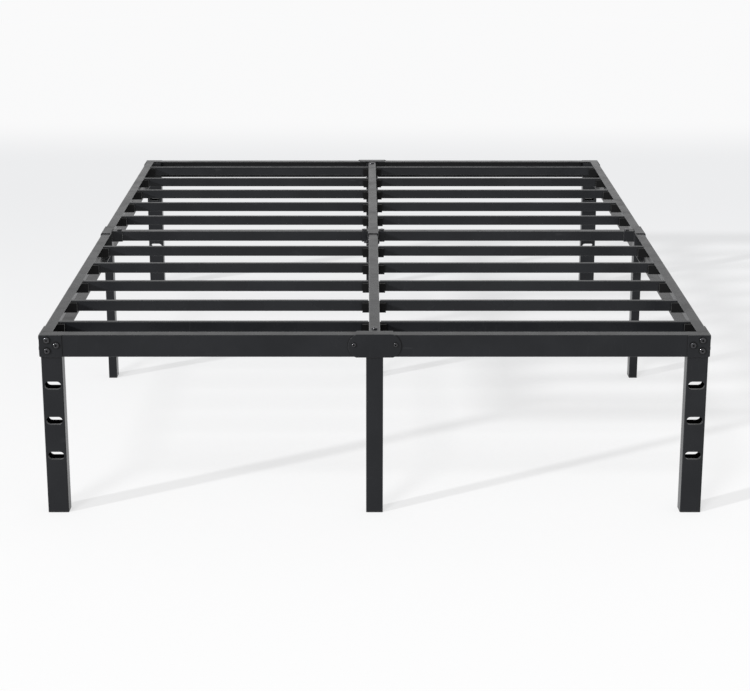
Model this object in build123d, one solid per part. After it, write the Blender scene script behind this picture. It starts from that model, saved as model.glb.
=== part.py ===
from build123d import *
import os

os.makedirs("parts", exist_ok=True)

# Steel platform bed frame, bolted together from channel rails, box-section
# slats, four slotted corner legs and five support legs.
# Millimetres. X runs across the bed, Y from its front end (-Y) to its rear
# end (+Y), Z up. The origin is on the floor under the middle of the frame.

# ---------------------------------------------------------------- driving sizes
frame_width = 1524.0            # over the faces of the two side rails
frame_length = 2032.0           # over the faces of the two end rails
deck_height = 432.0             # floor to the top of the rails

# Rails: roll-formed channels that open towards the inside of the frame
rail_height = 52.0
rail_wall = 1.5
rail_inner_bend = 1.0           # inside radius of the folded edges
side_top_flange = 25.0
side_bottom_flange = 30.0
end_flange = 28.0
butt_gap = 0.5                  # between two pieces that meet end to end

# Corner legs: rectangular tube with three slots for a headboard or footboard
leg_width = 48.0
leg_depth = 36.0
leg_wall = 1.5
tube_inner_corner = 1.0         # inside corner radius of every tube
leg_top_drop = 2.6              # below the rail top, clear of the inside bend
leg_lid = 1.2                   # plate welded over the leg's top end
slot_length = 38.0
slot_width = 19.0
slot_count = 3
slot_first_drop = 121.0         # rail top to the middle of the highest slot
slot_pitch = 85.3
slot_lip_wall = 1.5             # lip pressed inwards round each outer slot
slot_lip_depth = 7.0

# Corner brackets: bent plates outside the rails
bracket_wall = 1.5
bracket_front = 52.0
bracket_side = 77.0
bracket_chamfer = 2.5           # depth of the cut across the lower corner
bracket_bend = 1.8              # outside radius of the bend
front_bolt_outer = 18.4         # bracket's outer face to the outer bolt column
front_bolt_inner = 39.5         # bracket's outer face to the single inner bolt
bolt_top_drop = 11.5            # rail top to the upper bolts
bolt_mid_drop = 23.5
bolt_low_drop = 36.7
side_bolt_back = 15.5           # leg's inner face to the side bolt column
side_bolt_far = 20.0            # bracket's end to the single bolt in the rail

# Support legs: a slim tube under a saddle that hooks over the rail joint
post_width = 39.0               # along the rail
post_depth = 23.0               # across the rail
post_wall = 1.5
saddle_length = 121.0
saddle_flat = 84.0              # straight top edge between the rounded ends
saddle_wall = 2.0
saddle_bend = 1.6               # outside radius of the fold
saddle_drop = 0.6               # how far the plate hangs below the rail
saddle_bolt_spacing = 95.0
saddle_bolt_drop = 22.0         # rail top to the bolts

# Centre rail, and the tongues that carry its outer ends
center_rail_width = 25.0
center_rail_height = 40.0
center_rail_wall = 1.5
tongue_wall = 2.5
tongue_length = 46.0            # from the support leg's inner face
center_bolt_offset = 23.0       # end rail's flange to the bolt

# Slats and the moulded sockets at their ends
slat_depth = 14.0
slat_height = 26.0
slat_wall = 1.2
slat_rows = 5                   # on each side of the tie bars
slat_end_offset = 113.0         # end rail's face to the nearest slat's middle
slat_middle_offset = 183.0      # middle of the frame to the nearest slat's middle
socket_top_drop = 4.5           # slat's top to the top of its socket
socket_wall = 4.0
socket_floor = 2.5
socket_reach = 15.5             # out from the edge of the side rail's top flange
socket_stop = 2.0               # cross wall at the slat's end
socket_back = 2.5               # cross wall on the side rail's web
holder_reach = 16.0             # out from the centre rail
holder_back = 1.5
peg_radius = 3.0

# Tie bars across the middle of the frame, and the sleeves that hold their ends
tie_depth = 26.0
tie_height = 27.5
tie_wall = 1.5
sleeve_wall = 1.5
sleeve_floor = 1.5
sleeve_back = 3.0
sleeve_side_length = 29.5       # at the side legs
sleeve_center_length = 17.5     # at the centre rail
tie_bolt_side = 20.0            # side leg's inner face to the bolt
tie_bolt_center = 9.5           # centre saddle's face to the bolt

# Fasteners
m8_radius = 4.0
m8_length = 15.0
m8_head_radius = 7.5
m8_head_height = 4.2
m8_socket_flats = 5.0
m8_nut_flats = 13.0
m8_nut_height = 6.5
m6_radius = 3.0
m6_short_length = 12.0
m6_long_length = 40.0
m6_head_radius = 5.5
m6_head_height = 3.3
m6_wide_head_radius = 7.0      # on top of the centre rail and the sleeves
m6_socket_flats = 4.0
m6_nut_flats = 10.0
m6_nut_height = 5.0
socket_head_share = 0.6         # depth of the hexagon as a share of the head
head_round_share = 0.8          # rounding of the head's rim as a share of its height

# Foot caps
cap_base = 3.0
cap_plug = 14.0

# Clearances
slip = 0.2                      # each side of a piece that slides into another
end_play = 0.5                  # past the end of a piece in its socket
hole_clearance = 0.3            # round a bolt or a peg
thread_clearance = 0.1          # round a bolt inside its nut
cut_margin = 1.0                # how far a cutter runs past what it cuts

# ---------------------------------------------------------------- derived places
half_width = frame_width / 2
half_length = frame_length / 2
rail_bottom = deck_height - rail_height
rail_bend = rail_wall + rail_inner_bend
flange_under = deck_height - rail_wall
web_inner_x = half_width - rail_wall
web_inner_y = half_length - rail_wall

leg_outer_x = web_inner_x
leg_inner_x = leg_outer_x - leg_width
leg_center_x = leg_outer_x - leg_width / 2
leg_inner_y = web_inner_y - leg_depth
leg_top = deck_height - leg_top_drop
slot_heights = [deck_height - slot_first_drop - slot_pitch * k for k in range(slot_count)]

post_notch = post_width / 2 + butt_gap
post_inner_x = web_inner_x - post_depth
post_inner_y = web_inner_y - post_depth

slat_mid_height = deck_height - slat_height / 2
slat_bottom = deck_height - slat_height
slat_pitch = (half_length - slat_end_offset - slat_middle_offset) / (slat_rows - 1)
slat_rows_y = [half_length - slat_end_offset - slat_pitch * k for k in range(slat_rows)]
socket_top = deck_height - socket_top_drop
socket_bottom = slat_bottom - socket_floor
peg_height = (socket_top + socket_bottom) / 2
flange_edge_x = half_width - side_top_flange
slat_outer_x = flange_edge_x - end_play
slat_inner_x = center_rail_width / 2 + holder_back + end_play

saddle_center_x = center_rail_width / 2 + saddle_wall
tie_bottom = deck_height - tie_height
sleeve_top = deck_height + sleeve_wall
tie_outer_x = post_inner_x - sleeve_back - end_play
tie_inner_x = saddle_center_x + sleeve_back + end_play
center_rail_end = half_length - end_flange - butt_gap
center_bolt_y = half_length - end_flange - center_bolt_offset

LOW = (Align.MIN, Align.MIN, Align.MIN)
FROM_TOP = (Align.MIN, Align.MIN, Align.MAX)
STANDING = (Align.CENTER, Align.CENTER, Align.MIN)


# ---------------------------------------------------------------- helpers
def block(low, high):
    """A box between two opposite corners."""
    size = [high[i] - low[i] for i in range(3)]
    return Pos(*low) * Box(*size, align=LOW)


def tube(width, depth, length, wall):
    """A rounded rectangular tube standing on the XY plane."""
    outer = RectangleRounded(width, depth, wall + tube_inner_corner)
    bore = RectangleRounded(width - 2 * wall, depth - 2 * wall, tube_inner_corner)
    return extrude(outer - bore, length)


def edges_at(shape, y, z):
    """The edges along X that lie at one place in Y and Z."""
    close = 0.01
    along = shape.edges().filter_by(Axis.X)
    return [e for e in along if abs(e.center().Y - y) < close and abs(e.center().Z - z) < close]


def channel(length, top_flange, bottom_flange):
    """A rail along +X: web on Y = 0, open towards +Y, top face on Z = 0."""
    web = Box(length, rail_wall, rail_height, align=FROM_TOP)
    top = Box(length, top_flange, rail_wall, align=FROM_TOP)
    bottom = Pos(0, 0, -rail_height) * Box(length, bottom_flange, rail_wall, align=LOW)
    body = web + top + bottom
    outside = edges_at(body, 0, 0) + edges_at(body, 0, -rail_height)
    body = fillet(outside, rail_bend)
    inside = edges_at(body, rail_wall, -rail_wall) + edges_at(body, rail_wall, rail_wall - rail_height)
    return fillet(inside, rail_inner_bend)


def bolt(radius, length, head_radius, head_height, socket_flats):
    """A button-head bolt: head above Z = 0, shank below, hexagon socket on top."""
    head = Cylinder(head_radius, head_height, align=STANDING)
    rim = head.edges().filter_by(GeomType.CIRCLE).sort_by(Axis.Z)[-1]
    head = fillet(rim, head_height * head_round_share)
    depth = head_height * socket_head_share
    hexagon = RegularPolygon(socket_flats / 2, 6, major_radius=False)
    head = head - Pos(0, 0, head_height - depth) * extrude(hexagon, depth + cut_margin)
    return head + Pos(0, 0, -length) * Cylinder(radius, length, align=STANDING)


def nut(radius, flats, height, grip):
    """A hexagon nut whose upper face lies one grip below Z = 0."""
    body = extrude(RegularPolygon(flats / 2, 6, major_radius=False), height)
    body = body - Cylinder(radius + thread_clearance, height, align=STANDING)
    return Pos(0, 0, -grip - height) * body


def drill(radius, depth):
    """A cutter for a bolt hole, running both ways from Z = 0."""
    return Pos(0, 0, -depth) * Cylinder(radius + hole_clearance, depth + cut_margin, align=STANDING)


def flip_x(shape):
    return mirror(shape, Plane.YZ)


def flip_y(shape):
    return mirror(shape, Plane.XZ)


def four_corners(shape, name):
    """Write the right-hand front piece and its three mirror images."""
    sides = {"right": shape, "left": flip_x(shape)}
    for side, piece in sides.items():
        write(piece, name.format(end="front", side=side))
        write(flip_y(piece), name.format(end="rear", side=side))


def write(shape, name):
    export_step(shape, f"parts/{name}.step")


# ---------------------------------------------------------------- corner fasteners
# Each place has its Z axis pointing out of the bracket, away from the rail.
FACING_FRONT = (90, 0, 0)
FACING_RIGHT = (0, 90, 0)

bracket_face_x = half_width + bracket_wall
bracket_face_y = half_length + bracket_wall
leg_grip = bracket_wall + rail_wall + leg_wall
rail_grip = bracket_wall + rail_wall
side_bolt_y = leg_inner_y + side_bolt_back
far_bolt_y = bracket_face_y - bracket_side + side_bolt_far

front_bolts = [
    (bracket_face_x - front_bolt_outer, deck_height - bolt_top_drop),
    (bracket_face_x - front_bolt_outer, deck_height - bolt_low_drop),
    (bracket_face_x - front_bolt_inner, deck_height - bolt_mid_drop),
]
side_bolts = [
    (side_bolt_y, deck_height - bolt_top_drop, leg_grip),
    (side_bolt_y, deck_height - bolt_low_drop, leg_grip),
    (far_bolt_y, deck_height - bolt_mid_drop, rail_grip),
]
corner_places = []
for x, z in front_bolts:
    corner_places.append((Location((x, -bracket_face_y, z), FACING_FRONT), leg_grip))
for y, z, grip in side_bolts:
    corner_places.append((Location((bracket_face_x, -y, z), FACING_RIGHT), grip))

corner_drills = Compound([place * drill(m8_radius, m8_length) for place, grip in corner_places])


# ---------------------------------------------------------------- saddle fasteners
saddle_face_x = half_width + saddle_wall
saddle_face_y = half_length + saddle_wall
saddle_bolt_height = deck_height - saddle_bolt_drop
saddle_bolt_half = saddle_bolt_spacing / 2

front_saddle_place = Location((saddle_bolt_half, -saddle_face_y, saddle_bolt_height), FACING_FRONT)
side_saddle_place = Location((saddle_face_x, -saddle_bolt_half, saddle_bolt_height), FACING_RIGHT)
cross_bolt_place = Location((saddle_center_x, -saddle_bolt_half, saddle_bolt_height), FACING_RIGHT)
center_bolt_place = Location((0, -center_bolt_y, deck_height))
tie_bolt_side_x = post_inner_x - tie_bolt_side
tie_bolt_center_x = saddle_center_x + tie_bolt_center
tie_bolt_side_place = Location((tie_bolt_side_x, 0, sleeve_top))
tie_bolt_center_place = Location((tie_bolt_center_x, 0, sleeve_top))

# the moulded pieces at the slats' ends are held by pegs in the rails' walls
peg_drill = Rot(0, 90, 0) * Cylinder(peg_radius + hole_clearance, center_rail_width + 2 * cut_margin)


# ---------------------------------------------------------------- end rails
end_half = half_width - butt_gap / 2
end_rail = Pos(butt_gap / 2, -half_length, deck_height) * channel(end_half, end_flange, end_flange)
# the flanges stop at the support leg, and the web runs on in front of it
end_rail -= block(
    (-cut_margin, -web_inner_y, deck_height - rail_bend),
    (post_notch, -half_length + end_flange + cut_margin, deck_height + cut_margin),
)
end_rail -= block(
    (-cut_margin, -web_inner_y, rail_bottom - cut_margin),
    (post_notch, -half_length + end_flange + cut_margin, rail_bottom + rail_bend),
)
# the lower flange stops at the corner leg
end_rail -= block(
    (leg_inner_x - butt_gap, -web_inner_y, rail_bottom - cut_margin),
    (half_width + cut_margin, -half_length + end_flange + cut_margin, rail_bottom + rail_bend),
)
# the inside of the upper fold makes room for the end of the side rail's web
end_rail -= block(
    (web_inner_x - rail_inner_bend, -web_inner_y, flange_under - rail_bend),
    (half_width + cut_margin, -web_inner_y + rail_inner_bend, flange_under),
)
end_rail -= corner_drills
end_rail -= front_saddle_place * drill(m6_radius, m6_short_length)
four_corners(end_rail, "{end}_rail_{side}")


# ---------------------------------------------------------------- side rails
side_half = web_inner_y - butt_gap / 2
side_rail = Rot(0, 0, 90) * channel(side_half, side_top_flange, side_bottom_flange)
side_rail = Pos(half_width, -web_inner_y, deck_height) * side_rail
# the upper flange starts behind the end rail's flange, which covers the corner
side_rail -= block(
    (half_width - side_top_flange - cut_margin, -half_length, flange_under),
    (half_width + cut_margin, -half_length + end_flange + butt_gap, deck_height + cut_margin),
)
side_rail -= block(
    (half_width - side_top_flange - cut_margin, -half_length, flange_under - rail_inner_bend),
    (web_inner_x, -half_length + end_flange + butt_gap, flange_under + cut_margin),
)
# the lower flange starts behind the corner leg
side_rail -= block(
    (half_width - side_bottom_flange - cut_margin, -half_length, rail_bottom - cut_margin),
    (web_inner_x, -leg_inner_y + butt_gap, rail_bottom + rail_bend),
)
# both flanges stop at the side leg
side_rail -= block(
    (half_width - side_top_flange - cut_margin, -post_notch, deck_height - rail_bend),
    (web_inner_x, cut_margin, deck_height + cut_margin),
)
side_rail -= block(
    (half_width - side_bottom_flange - cut_margin, -post_notch, rail_bottom - cut_margin),
    (web_inner_x, cut_margin, rail_bottom + rail_bend),
)
side_rail -= corner_drills
side_rail -= side_saddle_place * drill(m6_radius, m6_short_length)
for y in slat_rows_y:
    side_rail -= Pos(half_width, -y, peg_height) * peg_drill
four_corners(side_rail, "side_rail_{side}_{end}")


# ---------------------------------------------------------------- corner legs
leg_outline = RectangleRounded(leg_width, leg_depth, leg_wall + tube_inner_corner)
leg_tube_length = leg_top - leg_lid - cap_base
corner_leg = tube(leg_width, leg_depth, leg_tube_length, leg_wall)
corner_leg += Pos(0, 0, leg_tube_length) * extrude(leg_outline, leg_lid)
corner_leg = Pos(leg_center_x, -web_inner_y + leg_depth / 2, cap_base) * corner_leg
slot_cutter = extrude(SlotOverall(slot_length, slot_width), leg_depth + 2 * cut_margin)
slot_lip = SlotOverall(slot_length + 2 * slot_lip_wall, slot_width + 2 * slot_lip_wall)
slot_lip = extrude(slot_lip - SlotOverall(slot_length, slot_width), slot_lip_depth)
for z in slot_heights:
    cutter_y = -leg_inner_y + cut_margin
    corner_leg -= Location((leg_center_x, cutter_y, z), FACING_FRONT) * slot_cutter
    lip_y = -web_inner_y + leg_wall + slot_lip_depth
    corner_leg += Location((leg_center_x, lip_y, z), FACING_FRONT) * slot_lip
corner_leg -= corner_drills
four_corners(corner_leg, "corner_leg_{end}_{side}")


# ---------------------------------------------------------------- corner brackets
bracket_low = (bracket_face_x - bracket_front, -bracket_face_y, rail_bottom)
bracket_high = (bracket_face_x, -bracket_face_y + bracket_side, deck_height)
corner_bracket = block(bracket_low, bracket_high)
bend = corner_bracket.edges().filter_by(Axis.Z).sort_by(Axis.X)[-2:].sort_by(Axis.Y)[0]
corner_bracket = fillet(bend, bracket_bend)
corner_bracket -= block(
    (bracket_low[0] - cut_margin, -half_length, rail_bottom - cut_margin),
    (half_width, bracket_high[1] + cut_margin, deck_height + cut_margin),
)
lower_corner = Plane(origin=(bracket_face_x, -bracket_face_y, rail_bottom), z_dir=(1, -1, -1))
corner_cut = Box(bracket_front, bracket_front, bracket_front, align=STANDING)
corner_bracket -= lower_corner.offset(-bracket_chamfer) * corner_cut
corner_bracket -= corner_drills
four_corners(corner_bracket, "corner_bracket_{end}_{side}")


# ---------------------------------------------------------------- support legs
post = tube(post_width, post_depth, deck_height - cap_base, post_wall)
end_post = Pos(0, -web_inner_y + post_depth / 2, cap_base) * post
side_post = Pos(web_inner_x - post_depth / 2, 0, cap_base) * Rot(0, 0, 90) * post
write(end_post, "center_leg_front")
write(flip_y(end_post), "center_leg_rear")
write(Pos(0, 0, cap_base) * Rot(0, 0, 90) * post, "center_leg_middle")
write(side_post, "side_leg_right")
write(flip_x(side_post), "side_leg_left")


# ---------------------------------------------------------------- saddles
def saddle_plate(height):
    """The bolted plate, standing on the XZ plane, its top edge on Z = 0."""
    flat = saddle_flat / 2
    tip = saddle_length / 2
    top = Line((-flat, 0), (flat, 0))
    right = ThreePointArc((flat, 0), (tip, -height / 2), (flat, -height))
    bottom = Line((flat, -height), (-flat, -height))
    left = ThreePointArc((-flat, -height), (-tip, -height / 2), (-flat, 0))
    face = make_face([top, right, bottom, left])
    return Rot(90, 0, 0) * extrude(face, saddle_wall)


def saddle(rail_size, flange, faces):
    """A saddle along X over a rail whose outer face is on Y = 0 and whose top is on Z = 0."""
    plate_height = rail_size + saddle_wall + saddle_drop
    body = Pos(0, 0, saddle_wall) * saddle_plate(plate_height)
    body += block((-saddle_flat / 2, -saddle_wall, 0), (saddle_flat / 2, flange, saddle_wall))
    folds = edges_at(body, -saddle_wall, saddle_wall)
    if faces == 2:
        body += Pos(0, flange + saddle_wall, saddle_wall) * saddle_plate(plate_height)
        folds = edges_at(body, -saddle_wall, saddle_wall) + edges_at(body, flange + saddle_wall, saddle_wall)
    return fillet(folds, saddle_bend)


end_saddle = Pos(0, -half_length, deck_height) * saddle(rail_height, end_flange, 1)
end_saddle -= front_saddle_place * drill(m6_radius, m6_short_length)
end_saddle -= flip_x(front_saddle_place * drill(m6_radius, m6_short_length))
# the side saddle's flange stops at the leg's inner face, where the sleeve begins
side_saddle = saddle(rail_height, rail_wall + post_depth, 1)
side_saddle = Pos(half_width, 0, deck_height) * Rot(0, 0, 90) * side_saddle
side_saddle -= side_saddle_place * drill(m6_radius, m6_short_length)
side_saddle -= flip_y(side_saddle_place * drill(m6_radius, m6_short_length))
middle_saddle = saddle(center_rail_height, center_rail_width, 2)
middle_saddle = Pos(center_rail_width / 2, 0, deck_height) * Rot(0, 0, 90) * middle_saddle
cross_drill = cross_bolt_place * drill(m6_radius, m6_long_length)
middle_saddle -= cross_drill
middle_saddle -= flip_y(cross_drill)
write(end_saddle, "saddle_front")
write(flip_y(end_saddle), "saddle_rear")
write(side_saddle, "saddle_side_right")
write(flip_x(side_saddle), "saddle_side_left")
write(middle_saddle, "saddle_middle")


# ---------------------------------------------------------------- centre rail
rail_run = center_rail_end - post_notch
center_rail = tube(center_rail_width, center_rail_height, rail_run, center_rail_wall)
center_rail = Rot(90, 0, 0) * center_rail
center_rail = Pos(0, -post_notch, deck_height - center_rail_height / 2) * center_rail
for y in slat_rows_y:
    center_rail -= Pos(0, -y, peg_height) * peg_drill
center_rail -= center_bolt_place * drill(m6_radius, center_rail_height / 2)
center_rail -= cross_drill
write(center_rail, "center_rail_front")
write(flip_y(center_rail), "center_rail_rear")


# ---------------------------------------------------------------- centre rail tongues
tongue_width = center_rail_width - 2 * (center_rail_wall + slip)
tongue_height = center_rail_height - 2 * center_rail_wall - slip
tongue_top = deck_height - center_rail_wall
tongue = tube(tongue_width, tongue_height, tongue_length, tongue_wall)
tongue = Rot(-90, 0, 0) * tongue
tongue = Pos(0, -post_inner_y, tongue_top - tongue_height / 2) * tongue
tongue -= center_bolt_place * drill(m6_radius, m6_short_length)
write(Compound([tongue, flip_y(tongue)]), "center_rail_tongues")


# ---------------------------------------------------------------- slats and their sockets
slat_run = slat_outer_x - slat_inner_x
slat = tube(slat_depth, slat_height, slat_run, slat_wall)
slat = Rot(0, 90, 0) * Rot(0, 0, 90) * slat
slat = Pos(slat_inner_x, 0, slat_mid_height) * slat

pocket_half = slat_depth / 2 + slip
socket_half = pocket_half + socket_wall


def tray(low_x, high_x):
    """The room inside a moulded piece, open at its top."""
    return block((low_x, -pocket_half, slat_bottom), (high_x, pocket_half, socket_top + cut_margin))


def peg(x):
    """A peg along X through a rail's wall, starting at x."""
    pin = Cylinder(peg_radius, rail_wall, align=STANDING)
    return Pos(x, 0, peg_height) * Rot(0, 90, 0) * pin


socket_inner_x = flange_edge_x - socket_reach
side_socket = block((socket_inner_x, -socket_half, socket_bottom), (web_inner_x, socket_half, socket_top))
side_socket -= tray(socket_inner_x - cut_margin, flange_edge_x)
side_socket -= tray(flange_edge_x + socket_stop, web_inner_x - socket_back)
side_socket += peg(web_inner_x)

holder_x = center_rail_width / 2
holder_end = holder_x + holder_reach
center_holder = block((holder_x, -socket_half, socket_bottom), (holder_end, socket_half, socket_top))
center_holder -= tray(holder_x + holder_back, holder_end + cut_margin)
center_holder += peg(holder_x - center_rail_wall)

sockets = []
holders = []
all_rows = [-y for y in slat_rows_y] + sorted(slat_rows_y)
for number, y in enumerate(all_rows, start=1):
    for side, shape in (("right", slat), ("left", flip_x(slat))):
        write(Pos(0, y, 0) * shape, f"slat_{side}_{number:02d}")
    sockets += [Pos(0, y, 0) * side_socket, Pos(0, y, 0) * flip_x(side_socket)]
    holders += [Pos(0, y, 0) * center_holder, Pos(0, y, 0) * flip_x(center_holder)]
write(Compound(sockets), "slat_sockets_side")
write(Compound(holders), "slat_holders_center")


# ---------------------------------------------------------------- tie bars and sleeves
def sleeve(low_x, high_x, back_x, bolt_x):
    """A box sleeve round a tie bar's end, closed on the side of back_x."""
    half = tie_depth / 2 + slip
    outer_half = half + sleeve_wall
    shell = block((low_x, -outer_half, tie_bottom - sleeve_floor), (high_x, outer_half, sleeve_top))
    if back_x == high_x:
        bore = ((low_x - cut_margin, -half, tie_bottom), (high_x - sleeve_back, half, deck_height))
    else:
        bore = ((low_x + sleeve_back, -half, tie_bottom), (high_x + cut_margin, half, deck_height))
    return shell - block(*bore) - Pos(bolt_x, 0, sleeve_top) * drill(m6_radius, m6_short_length)


tie_bar = tube(tie_depth, tie_height, tie_outer_x - tie_inner_x, tie_wall)
tie_bar = Rot(0, 90, 0) * Rot(0, 0, 90) * tie_bar
tie_bar = Pos(tie_inner_x, 0, deck_height - tie_height / 2) * tie_bar
tie_bar -= tie_bolt_side_place * drill(m6_radius, m6_short_length)
tie_bar -= tie_bolt_center_place * drill(m6_radius, m6_short_length)
write(tie_bar, "tie_bar_right")
write(flip_x(tie_bar), "tie_bar_left")

sleeve_side_end = post_inner_x - sleeve_side_length
sleeve_side = sleeve(sleeve_side_end, post_inner_x, post_inner_x, tie_bolt_side_x)
sleeve_center_end = saddle_center_x + sleeve_center_length
sleeve_center = sleeve(saddle_center_x, sleeve_center_end, saddle_center_x, tie_bolt_center_x)
sleeves = [sleeve_side, flip_x(sleeve_side), sleeve_center, flip_x(sleeve_center)]
write(Compound(sleeves), "tie_bar_sleeves")


# ---------------------------------------------------------------- fasteners
def mirrored(shape, across_x, across_y):
    """A list of the shape and the mirror images asked for."""
    copies = [shape]
    if across_x:
        copies += [flip_x(s) for s in copies]
    if across_y:
        copies += [flip_y(s) for s in copies]
    return copies


m8_bolt = bolt(m8_radius, m8_length, m8_head_radius, m8_head_height, m8_socket_flats)
m8_bolts = []
m8_nuts = []
for place, grip in corner_places:
    m8_bolts += mirrored(place * m8_bolt, True, True)
    m8_nuts += mirrored(place * nut(m8_radius, m8_nut_flats, m8_nut_height, grip), True, True)
write(Compound(m8_bolts), "corner_bolts")
write(Compound(m8_nuts), "corner_nuts")

short_bolt = bolt(m6_radius, m6_short_length, m6_head_radius, m6_head_height, m6_socket_flats)
wide_bolt = bolt(m6_radius, m6_short_length, m6_wide_head_radius, m6_head_height, m6_socket_flats)
long_bolt = bolt(m6_radius, m6_long_length, m6_head_radius, m6_head_height, m6_socket_flats)
cross_grip = center_rail_width + 2 * saddle_wall
m6_sites = [
    (front_saddle_place, short_bolt, saddle_wall + rail_wall, True, True),
    (side_saddle_place, short_bolt, saddle_wall + rail_wall, True, True),
    (center_bolt_place, wide_bolt, center_rail_wall + tongue_wall, False, True),
    (tie_bolt_side_place, wide_bolt, sleeve_wall + tie_wall, True, False),
    (tie_bolt_center_place, wide_bolt, sleeve_wall + tie_wall, True, False),
    (cross_bolt_place, long_bolt, cross_grip, False, True),
]
m6_nuts = []
for shape, name in ((short_bolt, "short"), (wide_bolt, "wide"), (long_bolt, "long")):
    group = []
    for place, kind, grip, across_x, across_y in m6_sites:
        if kind is shape:
            group += mirrored(place * shape, across_x, across_y)
            m6_nut = nut(m6_radius, m6_nut_flats, m6_nut_height, grip)
            m6_nuts += mirrored(place * m6_nut, across_x, across_y)
    write(Compound(group), f"m6_{name}_bolts")
write(Compound(m6_nuts), "m6_nuts")


# ---------------------------------------------------------------- foot caps
def foot_cap(width, depth, wall):
    """A moulded cap: a base under the tube and a plug inside it."""
    base = extrude(RectangleRounded(width, depth, wall + tube_inner_corner), cap_base)
    plug = RectangleRounded(width - 2 * (wall + slip), depth - 2 * (wall + slip), tube_inner_corner)
    return base + Pos(0, 0, cap_base) * extrude(plug, cap_plug)


leg_cap = Pos(leg_center_x, -web_inner_y + leg_depth / 2, 0) * foot_cap(leg_width, leg_depth, leg_wall)
post_cap = foot_cap(post_width, post_depth, post_wall)
caps = mirrored(leg_cap, True, True)
caps += mirrored(Pos(0, -web_inner_y + post_depth / 2, 0) * post_cap, False, True)
caps += mirrored(Pos(web_inner_x - post_depth / 2, 0, 0) * Rot(0, 0, 90) * post_cap, True, False)
caps += [Rot(0, 0, 90) * post_cap]
write(Compound(caps), "foot_caps")
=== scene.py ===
import math

import bmesh
import bpy
from mathutils import Matrix, Vector


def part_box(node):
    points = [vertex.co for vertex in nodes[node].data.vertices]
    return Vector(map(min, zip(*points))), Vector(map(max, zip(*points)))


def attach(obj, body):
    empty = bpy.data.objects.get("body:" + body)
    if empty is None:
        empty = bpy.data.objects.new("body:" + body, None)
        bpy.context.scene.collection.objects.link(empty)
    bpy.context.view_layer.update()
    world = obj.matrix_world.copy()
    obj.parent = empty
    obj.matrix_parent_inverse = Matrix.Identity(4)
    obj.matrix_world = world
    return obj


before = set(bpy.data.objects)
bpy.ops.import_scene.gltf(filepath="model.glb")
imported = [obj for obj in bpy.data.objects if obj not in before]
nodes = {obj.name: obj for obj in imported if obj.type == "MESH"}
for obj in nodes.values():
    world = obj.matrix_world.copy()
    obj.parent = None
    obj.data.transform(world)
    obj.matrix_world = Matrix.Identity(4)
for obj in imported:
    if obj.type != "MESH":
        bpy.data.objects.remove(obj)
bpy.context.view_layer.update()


# ---------------------------------------------------------------- corner legs
# Four rectangular steel tubes with three flanged slots each. They are cut, pressed and
# powder coated in satin black. Its edges are lighter and glossier, partly as thin coat and partly as a painted
# highlight.
def shader_group(name, inputs, outputs):
    """An empty node group for a surface effect, with its sockets."""
    group = bpy.data.node_groups.new(name, "ShaderNodeTree")
    for label, value in inputs.items():
        socket = group.interface.new_socket(label, in_out="INPUT", socket_type="NodeSocketFloat")
        socket.default_value = value
    for label, kind in outputs.items():
        group.interface.new_socket(label, in_out="OUTPUT", socket_type=kind)
    start = group.nodes.new("NodeGroupInput")
    end = group.nodes.new("NodeGroupOutput")
    return group, start, end


def put(tree, kind, values=None, **settings):
    """A node in a tree, with its settings and the values of its free sockets."""
    node = tree.nodes.new("ShaderNode" + kind)
    for key, value in settings.items():
        setattr(node, key, value)
    for key, value in (values or {}).items():
        node.inputs[key].default_value = value
    return node


def spread(tree, source, low, high, to_low=0.0, to_high=1.0):
    """Stretches a value from one range to another, clamped, with soft ends."""
    values = {"From Min": low, "From Max": high, "To Min": to_low, "To Max": to_high}
    node = put(tree, "MapRange", values, interpolation_type="SMOOTHSTEP")
    tree.links.new(source, node.inputs["Value"])
    return node.outputs["Result"]


def noise_at(tree, place, scale, detail=2.0, roughness=0.5):
    """Noise on a place vector, with a scale in features per metre."""
    node = put(tree, "TexNoise", {"Scale": scale, "Detail": detail, "Roughness": roughness})
    tree.links.new(place, node.inputs["Vector"])
    return node.outputs["Fac"]


def maths(tree, operation, first, second):
    """A maths node between two outputs, or an output and a number."""
    node = put(tree, "Math", operation=operation)
    for socket, value in zip(node.inputs, (first, second)):
        if isinstance(value, (int, float)):
            socket.default_value = value
        else:
            tree.links.new(value, socket)
    return node.outputs[0]


def object_place(tree):
    return put(tree, "TexCoord").outputs["Object"]


def make_worn_highlit_edges():
    """Where edges are lightened, partly as thinned coat and partly as a painted highlight: the bends, rims and
    cut edges of a piece, broken up a little.
    """
    inputs = {"Radius": 0.0012, "Amount": 1.0}
    group, start, end = shader_group("worn_highlit_edges", inputs, {"Mask": "NodeSocketFloat"})
    rounded = put(group, "Bevel", samples=4)
    group.links.new(start.outputs["Radius"], rounded.inputs["Radius"])
    flat = put(group, "NewGeometry")
    facing = put(group, "VectorMath", operation="DOT_PRODUCT")
    group.links.new(rounded.outputs["Normal"], facing.inputs[0])
    group.links.new(flat.outputs["Normal"], facing.inputs[1])
    turned = maths(group, "SUBTRACT", 1.0, facing.outputs["Value"])
    rim = spread(group, turned, 0.02, 0.22)
    patchy = spread(group, noise_at(group, object_place(group), 55.0, 3.0), 0.3, 0.62, 0.35, 1.0)
    mask = maths(group, "MULTIPLY", maths(group, "MULTIPLY", rim, patchy), start.outputs["Amount"])
    group.links.new(mask, end.inputs["Mask"])
    return group


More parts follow.
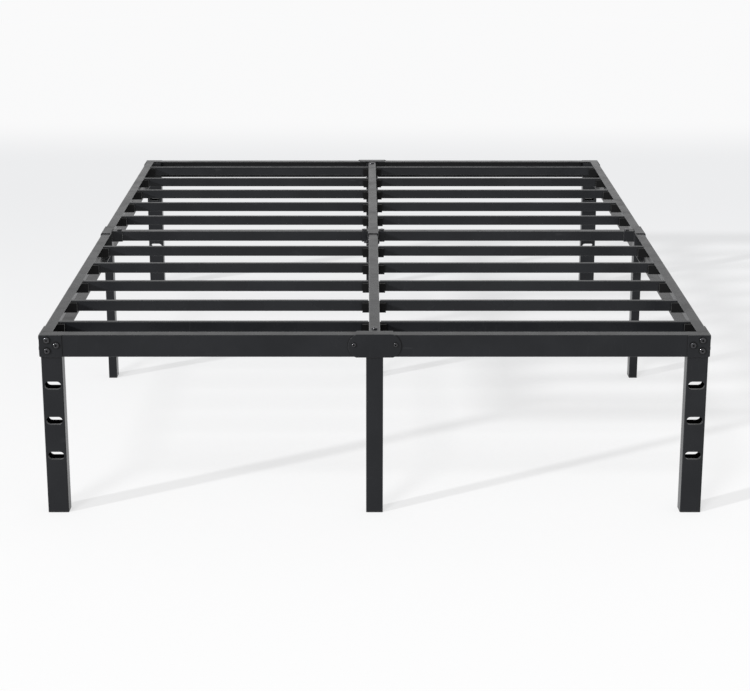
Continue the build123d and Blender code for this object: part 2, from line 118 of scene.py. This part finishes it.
def make_orange_peel():
    """The dimpled skin of sprayed powder: shallow waves with a fine grain in them."""
    inputs = {"Dimples": 420.0, "Grain": 2300.0}
    outputs = {"Height": "NodeSocketFloat", "Tone": "NodeSocketFloat"}
    group, start, end = shader_group("orange_peel", inputs, outputs)
    place = object_place(group)
    dimples = put(group, "TexNoise", {"Detail": 1.0, "Roughness": 0.4})
    grain = put(group, "TexNoise", {"Detail": 2.0, "Roughness": 0.55})
    for texture, label in ((dimples, "Dimples"), (grain, "Grain")):
        group.links.new(place, texture.inputs["Vector"])
        group.links.new(start.outputs[label], texture.inputs["Scale"])
    fine = maths(group, "MULTIPLY", grain.outputs["Fac"], 0.22)
    height = maths(group, "ADD", dimples.outputs["Fac"], fine)
    cloud = noise_at(group, place, 7.0, 4.0, 0.6)
    group.links.new(height, end.inputs["Height"])
    group.links.new(cloud, end.inputs["Tone"])
    return group


def make_dust():
    """Fine dust that settles on faces that look up, thinly and in patches."""
    group, start, end = shader_group("settled_dust", {"Amount": 1.0}, {"Mask": "NodeSocketFloat"})
    flat = put(group, "NewGeometry")
    parts = put(group, "SeparateXYZ")
    group.links.new(flat.outputs["Normal"], parts.inputs[0])
    upward = spread(group, parts.outputs["Z"], 0.6, 1.0)
    place = object_place(group)
    patches = spread(group, noise_at(group, place, 16.0, 5.0, 0.62), 0.38, 0.72)
    specks = spread(group, noise_at(group, place, 900.0, 1.0), 0.58, 0.76)
    both = maths(group, "MAXIMUM", maths(group, "MULTIPLY", patches, 0.6), specks)
    mask = maths(group, "MULTIPLY", maths(group, "MULTIPLY", upward, both), start.outputs["Amount"])
    group.links.new(mask, end.inputs["Mask"])
    return group


def make_handling():
    """Fine handling marks: short hairline rubs that run along and across a piece."""
    group, start, end = shader_group("handling_marks", {"Amount": 1.0}, {"Mask": "NodeSocketFloat"})
    place = object_place(group)
    mask = None
    for turn, stretch in (((0.0, 0.0, 0.35), (14.0, 420.0, 60.0)), ((0.2, 0.5, 0.0), (380.0, 30.0, 18.0))):
        mapping = put(group, "Mapping", {"Rotation": turn, "Scale": stretch})
        group.links.new(place, mapping.inputs["Vector"])
        lines = spread(group, noise_at(group, mapping.outputs["Vector"], 1.0, 2.0), 0.665, 0.72)
        mask = lines if mask is None else maths(group, "MAXIMUM", mask, lines)
    where = spread(group, noise_at(group, place, 9.0, 2.0), 0.5, 0.66)
    mask = maths(group, "MULTIPLY", maths(group, "MULTIPLY", mask, where), start.outputs["Amount"])
    group.links.new(mask, end.inputs["Mask"])
    return group


def make_crevice_shade():
    """Painted shade: darkens the corners where two pieces meet, found by ambient occlusion. Less of it is
    painted on faces that look up.
    """
    inputs = {"Reach": 0.005, "Upward": 1.0}
    group, start, end = shader_group("crevice_shade", inputs, {"Mask": "NodeSocketFloat"})
    air = put(group, "AmbientOcclusion", samples=6)
    group.links.new(start.outputs["Reach"], air.inputs["Distance"])
    shut = spread(group, air.outputs["AO"], 0.52, 0.97, 1.0, 0.0)
    flat = put(group, "NewGeometry")
    parts = put(group, "SeparateXYZ")
    group.links.new(flat.outputs["Normal"], parts.inputs[0])
    upward = spread(group, parts.outputs["Z"], 0.5, 0.9)
    spared = maths(group, "MULTIPLY", upward, maths(group, "SUBTRACT", 1.0, start.outputs["Upward"]))
    mask = maths(group, "MULTIPLY", shut, maths(group, "SUBTRACT", 1.0, spared))
    group.links.new(mask, end.inputs["Mask"])
    return group


def make_soft_edges():
    """The coat flows round a cut edge, so the edge catches light as a narrow round."""
    group, start, end = shader_group("soft_edges", {"Radius": 0.001}, {"Normal": "NodeSocketVector"})
    rounded = put(group, "Bevel", samples=6)
    group.links.new(start.outputs["Radius"], rounded.inputs["Radius"])
    group.links.new(rounded.outputs["Normal"], end.inputs["Normal"])
    return group


worn_highlit_edges = make_worn_highlit_edges()
orange_peel = make_orange_peel()
settled_dust = make_dust()
handling_marks = make_handling()
crevice_shade = make_crevice_shade()
soft_edges = make_soft_edges()


def effect(tree, group, **values):
    """One of the shared effects placed in a material with its own values."""
    node = tree.nodes.new("ShaderNodeGroup")
    node.node_tree = group
    for label, value in values.items():
        node.inputs[label.replace("_", " ").capitalize()].default_value = value
    return node


def blended(tree, factor, first, second):
    """A colour mixed from two colours or outputs by a factor output."""
    node = put(tree, "Mix", data_type="RGBA")
    tree.links.new(factor, node.inputs["Factor"])
    colour_sockets = [s for s in node.inputs if s.type == "RGBA"]
    for socket, value in zip(colour_sockets, (first, second)):
        if isinstance(value, tuple):
            socket.default_value = (*value, 1.0)
        else:
            tree.links.new(value, socket)
    return [s for s in node.outputs if s.type == "RGBA"][0]


def bare_material(name, specular):
    """A material with one Principled shader, and its tree and shader."""
    material = bpy.data.materials.new(name)
    material.use_nodes = True
    tree = material.node_tree
    shader = tree.nodes["Principled BSDF"]
    shader.inputs["Specular IOR Level"].default_value = specular
    return material, tree, shader


coat_round = 0.0009          # radius that the coat gives a cut edge
crevice_reach = 0.005        # how far from a corner the painted shade reaches
crevice_shade_tone = (0.0020, 0.0020, 0.0022)
worn_highlit_edge_tone = (0.055, 0.056, 0.06)
rubbed_tone = (0.05, 0.051, 0.054)
dust_tone = (0.30, 0.29, 0.27)


def powder_coat(name, dark, light, sheen, edge_wear_and_highlight=1.0, marks=1.0, rounding=coat_round, reach=crevice_reach):
    """Satin black powder coat: clouded tone, dimples, edges lightened as thin coat and as a painted highlight,
    rubs, a little dust and painted shade in the corners.
    """
    material, tree, shader = bare_material(name, 0.15)
    peel = effect(tree, orange_peel)
    rim = effect(tree, worn_highlit_edges, amount=edge_wear_and_highlight).outputs["Mask"]
    dusty = effect(tree, settled_dust, amount=1.0).outputs["Mask"]
    rubbed = effect(tree, handling_marks, amount=marks).outputs["Mask"]
    cloud = spread(tree, peel.outputs["Tone"], 0.3, 0.7)
    tone = blended(tree, cloud, dark, light)
    # Lighter edges, partly thin coat and partly a painted highlight.
    tone = blended(tree, maths(tree, "MULTIPLY", rim, 0.5), tone, worn_highlit_edge_tone)
    tone = blended(tree, maths(tree, "MULTIPLY", rubbed, 0.3), tone, rubbed_tone)
    tone = blended(tree, maths(tree, "MULTIPLY", dusty, 0.07), tone, dust_tone)
    # Painted shade: corners and recesses darkened by ambient occlusion, less on faces that look up.
    painted_shade = effect(tree, crevice_shade, reach=reach, upward=0.2).outputs["Mask"]
    tone = blended(tree, painted_shade, tone, crevice_shade_tone)
    tree.links.new(tone, shader.inputs["Base Color"])
    gloss = spread(tree, peel.outputs["Tone"], 0.25, 0.75, sheen - 0.04, sheen + 0.05)
    gloss = maths(tree, "SUBTRACT", gloss, maths(tree, "MULTIPLY", rim, 0.1))
    gloss = maths(tree, "SUBTRACT", gloss, maths(tree, "MULTIPLY", rubbed, 0.08))
    gloss = maths(tree, "ADD", gloss, maths(tree, "MULTIPLY", dusty, 0.22))
    tree.links.new(gloss, shader.inputs["Roughness"])
    skin = put(tree, "Bump", {"Strength": 0.35, "Distance": 0.00005})
    tree.links.new(peel.outputs["Height"], skin.inputs["Height"])
    tree.links.new(effect(tree, soft_edges, radius=rounding).outputs["Normal"], skin.inputs["Normal"])
    tree.links.new(skin.outputs["Normal"], shader.inputs["Normal"])
    return material


def finish_node(name, material):
    """Gives a piece of the frame its finish."""
    slots = nodes[name].material_slots
    for slot in slots:
        slot.material = material


leg_dark, leg_light = (0.0108, 0.0115, 0.0131), (0.0139, 0.0147, 0.0166)
leg_coat = powder_coat("leg_coat", leg_dark, leg_light, sheen=0.26, edge_wear_and_highlight=1.2, marks=0.6)
leg_coat["finish_slot"] = "powder_coat"
for end in ("front", "rear"):
    for side in ("left", "right"):
        finish_node(f"corner_leg_{end}_{side}", leg_coat)


# ---------------------------------------------------------------- end and side rails
# Eight roll-formed channels, open to the inside of the bed. The coat runs evenly along
# them and is a touch smoother on the long rolled faces than on the tubes.
rail_dark, rail_light = (0.0107, 0.0114, 0.0130), (0.0140, 0.0148, 0.0168)
rail_coat = powder_coat("rail_coat", rail_dark, rail_light, sheen=0.24, marks=0.5)
rail_coat["finish_slot"] = "powder_coat"
for end in ("front", "rear"):
    for side in ("left", "right"):
        finish_node(f"{end}_rail_{side}", rail_coat)
        finish_node(f"side_rail_{side}_{end}", rail_coat)


# ---------------------------------------------------------------- corner brackets
# Bent plates round the outside corners, laser cut, so their edges are sharper. They are
# lightened more strongly along them, as thin coat and as a painted highlight.
plate_dark, plate_light = (0.0102, 0.0109, 0.0124), (0.0133, 0.0141, 0.0160)
plate_coat = powder_coat("plate_coat", plate_dark, plate_light, sheen=0.26, edge_wear_and_highlight=2.4, marks=0.6)
plate_coat["finish_slot"] = "powder_coat"
for end in ("front", "rear"):
    for side in ("left", "right"):
        finish_node(f"corner_bracket_{end}_{side}", plate_coat)


# ---------------------------------------------------------------- support legs and saddles
# Five rectangular posts under the middles of the rails, each welded to a pressed saddle
# that folds over the joint of two rails and is bolted through both. Its rims are round.
rim_round = 0.0024
rim_reach = 0.0006
saddle_coat = powder_coat(
    "saddle_coat", plate_dark, plate_light, sheen=0.26, edge_wear_and_highlight=2.4, marks=0.6, rounding=rim_round, reach=rim_reach
)
saddle_coat["finish_slot"] = "powder_coat"
for name in ("center_leg_front", "center_leg_middle", "center_leg_rear", "side_leg_left", "side_leg_right"):
    finish_node(name, leg_coat)
for name in ("saddle_front", "saddle_middle", "saddle_rear", "saddle_side_left", "saddle_side_right"):
    finish_node(name, saddle_coat)


# ---------------------------------------------------------------- centre rail
# A rectangular tube in two halves that carries the slats' inner ends. Its outer ends
# slide over welded tongues on the end posts.
for name in ("center_rail_front", "center_rail_rear", "center_rail_tongues"):
    finish_node(name, rail_coat)


# ---------------------------------------------------------------- slats
# Twenty thin tubes in ten rows. They are coated hanging in a dense rack, so the powder
# is a little leaner and flatter than on the rails.
slat_dark, slat_light = (0.0114, 0.0121, 0.0137), (0.0149, 0.0158, 0.0178)
slat_coat = powder_coat("slat_coat", slat_dark, slat_light, sheen=0.26, marks=0.8)
slat_coat["finish_slot"] = "powder_coat"
slat_rows = 10
for row in range(1, slat_rows + 1):
    for side in ("left", "right"):
        finish_node(f"slat_{side}_{row:02d}", slat_coat)


# ---------------------------------------------------------------- slat sockets and holders
# Moulded nylon shoes that hold the slats' ends against rattling. They are blacker than
# the coat and matt from the fine spark-eroded grain of the mould.
def moulded_nylon(name, tone, sheen, specular, edge_wear_and_highlight):
    """Black moulded plastic with a fine eroded grain and flow marks."""
    material, tree, shader = bare_material(name, specular)
    peel = effect(tree, orange_peel, dimples=1500.0, grain=5200.0)
    rim = effect(tree, worn_highlit_edges, amount=edge_wear_and_highlight, radius=0.0008).outputs["Mask"]
    dusty = effect(tree, settled_dust, amount=1.0).outputs["Mask"]
    pale = tuple(2.2 * c for c in tone)
    colour = blended(tree, spread(tree, peel.outputs["Tone"], 0.3, 0.7), tone, tuple(1.35 * c for c in tone))
    # Lighter edges, partly wear and partly a painted highlight.
    colour = blended(tree, maths(tree, "MULTIPLY", rim, 0.6), colour, pale)
    colour = blended(tree, maths(tree, "MULTIPLY", dusty, 0.08), colour, dust_tone)
    tree.links.new(colour, shader.inputs["Base Color"])
    gloss = spread(tree, peel.outputs["Tone"], 0.25, 0.75, sheen - 0.05, sheen + 0.06)
    gloss = maths(tree, "SUBTRACT", gloss, maths(tree, "MULTIPLY", rim, 0.12))
    tree.links.new(gloss, shader.inputs["Roughness"])
    grain = put(tree, "Bump", {"Strength": 0.6, "Distance": 0.00004})
    tree.links.new(peel.outputs["Height"], grain.inputs["Height"])
    tree.links.new(grain.outputs["Normal"], shader.inputs["Normal"])
    return material


socket_tone = (0.0045, 0.0045, 0.0047)
socket_nylon = moulded_nylon("socket_nylon", socket_tone, sheen=0.5, specular=0.1, edge_wear_and_highlight=0.25)
socket_nylon["finish_slot"] = "moulded_nylon"
finish_node("slat_sockets_side", socket_nylon)
finish_node("slat_holders_center", socket_nylon)


# ---------------------------------------------------------------- tie bars and sleeves
# Two stouter tubes across the middle of the bed. Their ends sit in box sleeves that are
# welded to the side posts and the middle saddle.
finish_node("tie_bar_left", rail_coat)
finish_node("tie_bar_right", rail_coat)
finish_node("tie_bar_sleeves", plate_coat)

weld_size = 0.0017
weld_sides = 10
ripple_pitch = 0.0022
stations = 4                 # rings of the bead to one ripple


def weld_bead(target, first, last, shift):
    """A rippled fillet weld between two points, half sunk in the corner it fills."""
    run = last - first
    ripples = round(run.length / ripple_pitch)
    bead = bmesh.new()
    bmesh.ops.create_cone(
        bead, cap_ends=True, segments=weld_sides, radius1=weld_size, radius2=weld_size, depth=run.length
    )
    long_edges = [e for e in bead.edges if abs(e.verts[0].co.z - e.verts[1].co.z) > weld_size]
    bmesh.ops.subdivide_edges(bead, edges=long_edges, cuts=stations * ripples - 1)
    for vert in bead.verts:
        along = vert.co.z / run.length + 0.5
        ripple = abs(math.sin(math.pi * (along * ripples + shift)))
        sway = 0.07 * math.sin(11.0 * along + 5.0 * shift)
        taper = math.sqrt(max(0.12, 1.0 - abs(2.0 * along - 1.0) ** 12))
        fullness = (0.86 + 0.22 * ripple + sway) * taper
        vert.co.x *= fullness
        vert.co.y *= fullness
    turn = run.to_track_quat("Z", "Y").to_matrix().to_4x4()
    bmesh.ops.transform(bead, matrix=Matrix.Translation((first + last) / 2) @ turn, verts=bead.verts)
    for face in bead.faces:
        face.smooth = True
    bead_mesh = bpy.data.meshes.new("bead")
    bead.to_mesh(bead_mesh)
    bead.free()
    target.from_mesh(bead_mesh)
    bpy.data.meshes.remove(bead_mesh)


sleeve_low, sleeve_high = (Vector(c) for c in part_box("tie_bar_sleeves"))
saddle_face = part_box("saddle_middle")[1][0]
margin = 0.0015              # from a bead's end to the sleeve's corner
welds = bmesh.new()
for side in (-1, 1):
    for face_x, shift in ((sleeve_high.x, 0.1), (saddle_face, 0.6)):
        x = side * face_x
        for edge_y in (sleeve_low.y, sleeve_high.y):
            foot = Vector((x, edge_y, sleeve_low.z + margin))
            weld_bead(welds, foot, Vector((x, edge_y, sleeve_high.z - margin)), shift + 3.0 * edge_y)
        under = Vector((x, sleeve_low.y + margin, sleeve_low.z))
        weld_bead(welds, under, Vector((x, sleeve_high.y - margin, sleeve_low.z)), shift + 0.3)
    over = Vector((side * sleeve_high.x, sleeve_low.y + margin, sleeve_high.z - margin / 3))
    weld_bead(welds, over, Vector((over.x, sleeve_high.y - margin, over.z)), 0.45)
welds_mesh = bpy.data.meshes.new("sleeve_welds")
welds.to_mesh(welds_mesh)
welds.free()
welds_mesh.materials.append(plate_coat)
sleeve_welds = bpy.data.objects.new("sleeve_welds", welds_mesh)
bpy.context.scene.collection.objects.link(sleeve_welds)
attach(sleeve_welds, "root")


# ---------------------------------------------------------------- bolts and nuts
# Button-head screws and nuts in black-oxide steel: dark, oily and brighter than the coat.
# A painted highlight lightens their rims and painted shade darkens their recesses.
oxide_tone = (0.046, 0.046, 0.049)
rim_highlight_tone = (0.30, 0.30, 0.305)
recess_shade_tone = (0.004, 0.004, 0.0042)
recess_reach = 0.0036


def black_oxide(name, tone, sheen):
    """Blackened steel, patchy from the oil, with a painted highlight on the rims and painted shade in the
    recesses.
    """
    material, tree, shader = bare_material(name, 0.5)
    shader.inputs["Metallic"].default_value = 1.0
    place = object_place(tree)
    rim = effect(tree, worn_highlit_edges, amount=1.0, radius=0.0007).outputs["Mask"]
    oil = spread(tree, noise_at(tree, place, 260.0, 4.0, 0.6), 0.35, 0.68)
    colour = blended(tree, oil, tone, tuple(1.5 * c for c in tone))
    # Painted highlight: the rims are lightened as if catching the light.
    colour = blended(tree, maths(tree, "MULTIPLY", rim, 0.6), colour, rim_highlight_tone)
    # Painted shade: the recesses and the foot of the head are darkened by ambient occlusion.
    recess_shade = effect(tree, crevice_shade, reach=recess_reach, upward=1.0).outputs["Mask"]
    colour = blended(tree, recess_shade, colour, recess_shade_tone)
    tree.links.new(colour, shader.inputs["Base Color"])
    gloss = spread(tree, noise_at(tree, place, 420.0, 3.0), 0.3, 0.7, sheen - 0.04, sheen + 0.06)
    tree.links.new(gloss, shader.inputs["Roughness"])
    grain = put(tree, "Bump", {"Strength": 0.12, "Distance": 0.00003})
    tree.links.new(noise_at(tree, place, 1800.0, 3.0, 0.6), grain.inputs["Height"])
    tree.links.new(grain.outputs["Normal"], shader.inputs["Normal"])
    return material


bolt_steel = black_oxide("bolt_steel", oxide_tone, sheen=0.17)
bolt_steel["finish_slot"] = "black_fasteners"
for name in ("corner_bolts", "corner_nuts", "m6_short_bolts", "m6_wide_bolts", "m6_long_bolts", "m6_nuts"):
    finish_node(name, bolt_steel)


# ---------------------------------------------------------------- foot caps
# Ribbed nylon plugs pressed into the nine legs, of which only the base shows.
cap_tone = (0.010, 0.0101, 0.0105)
cap_nylon = moulded_nylon("cap_nylon", cap_tone, sheen=0.55, specular=0.4, edge_wear_and_highlight=1.0)
cap_nylon["finish_slot"] = "moulded_nylon"
finish_node("foot_caps", cap_nylon)


# ---------------------------------------------------------------- studio floor
# A pale seamless floor, brightest in front of the bed and greyer behind it, that runs
# into a pale backdrop. The greying behind the bed is painted shade.
floor_reach = 16.0
near_tone = (0.99, 0.99, 0.992)
middle_tone = (0.845, 0.85, 0.86)
backdrop_tone = (0.955, 0.955, 0.958)
shadow_lift = 0.64           # share of the plain floor colour that lightens the shadows
mesh = bmesh.new()
bmesh.ops.create_grid(mesh, x_segments=8, y_segments=8, size=floor_reach)
floor_mesh = bpy.data.meshes.new("studio_floor")
mesh.to_mesh(floor_mesh)
mesh.free()
floor = bpy.data.objects.new("studio_floor", floor_mesh)
bpy.context.scene.collection.objects.link(floor)

floor_material, tree, shader = bare_material("studio_floor", 0.0)
shader.inputs["Roughness"].default_value = 0.9
place = put(tree, "SeparateXYZ")
tree.links.new(object_place(tree), place.inputs[0])
behind = spread(tree, place.outputs["Y"], -1.6, 2.6)
beyond = spread(tree, place.outputs["Y"], 3.1, 4.3)
tone = blended(tree, beyond, blended(tree, behind, near_tone, middle_tone), backdrop_tone)
tree.links.new(tone, shader.inputs["Base Color"])
distance = put(tree, "VectorMath", operation="LENGTH")
tree.links.new(object_place(tree), distance.inputs[0])
far = spread(tree, distance.outputs["Value"], 4.0, 9.0, shadow_lift, 1.0)
rays = put(tree, "LightPath")
seen = maths(tree, "MAXIMUM", rays.outputs["Is Camera Ray"], rays.outputs["Is Glossy Ray"])
seen = maths(tree, "MAXIMUM", seen, rays.outputs["Is Transmission Ray"])
# Painted light: to camera and gloss rays the floor glows in its own colour. This lightens the shadows on it and
# blends it into the backdrop far off.
glow = put(tree, "Emission", {"Strength": 1.0})
tree.links.new(tone, glow.inputs["Color"])
fade = put(tree, "MixShader")
tree.links.new(maths(tree, "MULTIPLY", far, seen), fade.inputs[0])
tree.links.new(shader.outputs[0], fade.inputs[1])
tree.links.new(glow.outputs[0], fade.inputs[2])
tree.links.new(fade.outputs[0], tree.nodes["Material Output"].inputs["Surface"])
floor_mesh.materials.append(floor_material)


# ---------------------------------------------------------------- what the gloss shows
# The gloss of the coat shows the pale room and not the dark slats and rails beside it,
# so the rails' lower flanges shine between the slats as their tops do.
dark_neighbours = ("side_rail", "slat_", "tie_bar")
for name, piece in nodes.items():
    if name.startswith(dark_neighbours):
        piece.visible_glossy = False


# ---------------------------------------------------------------- studio light
# An even pale room, a low lamp from the left that lays long shadows, and a soft one above
# the front left that draws the highlights on the bolts.
room_level = 0.48
world = bpy.data.worlds.new("studio_room")
bpy.context.scene.world = world
world.use_nodes = True
tree = world.node_tree
for node in list(tree.nodes):
    tree.nodes.remove(node)
rays = put(tree, "LightPath")
shown = maths(tree, "MAXIMUM", rays.outputs["Is Camera Ray"], rays.outputs["Is Glossy Ray"])
shown = maths(tree, "MAXIMUM", shown, rays.outputs["Is Transmission Ray"])
lit = put(tree, "Background", {"Color": (1.0, 1.0, 1.0, 1.0), "Strength": room_level})
backdrop = put(tree, "Background", {"Color": (*backdrop_tone, 1.0), "Strength": 1.0})
choice = put(tree, "MixShader")
tree.links.new(shown, choice.inputs[0])
tree.links.new(lit.outputs[0], choice.inputs[1])
tree.links.new(backdrop.outputs[0], choice.inputs[2])
world_end = put(tree, "OutputWorld")
tree.links.new(choice.outputs[0], world_end.inputs["Surface"])

lamp_height = math.radians(17.0)
lamp_heading = math.radians(31.4)
toward_bed = Vector((math.cos(lamp_heading), math.sin(lamp_heading), -math.tan(lamp_height)))
low_lamp = bpy.data.lights.new("low_lamp", "SUN")
low_lamp.energy = 3.4
low_lamp.angle = math.radians(2.5)
lamp = bpy.data.objects.new("low_lamp", low_lamp)
lamp.rotation_euler = toward_bed.to_track_quat("-Z", "Y").to_euler()
bpy.context.scene.collection.objects.link(lamp)

soft_height = math.radians(50.0)
soft_heading = math.radians(62.0)
toward_bed = Vector((math.cos(soft_heading), math.sin(soft_heading), -math.tan(soft_height)))
soft_lamp = bpy.data.lights.new("soft_lamp", "SUN")
soft_lamp.energy = 0.8
soft_lamp.angle = math.radians(12.0)
lamp = bpy.data.objects.new("soft_lamp", soft_lamp)
lamp.rotation_euler = toward_bed.to_track_quat("-Z", "Y").to_euler()
bpy.context.scene.collection.objects.link(lamp)


# ---------------------------------------------------------------- camera
# Straight in front of the bed and above it, a little left of its middle.
camera_pitch = math.radians(14.84)
lens = bpy.data.cameras.new("camera")
lens.lens = 84.09
lens.shift_x = 0.0109
lens.shift_y = -0.1
camera = bpy.data.objects.new("camera", lens)
camera.location = (-0.0178, -4.8213, 1.5923)
camera.rotation_euler = (math.pi / 2 - camera_pitch, 0.0, 0.0)
bpy.context.scene.collection.objects.link(camera)
bpy.context.scene.camera = camera
bpy.context.scene.view_settings.view_transform = "Standard"
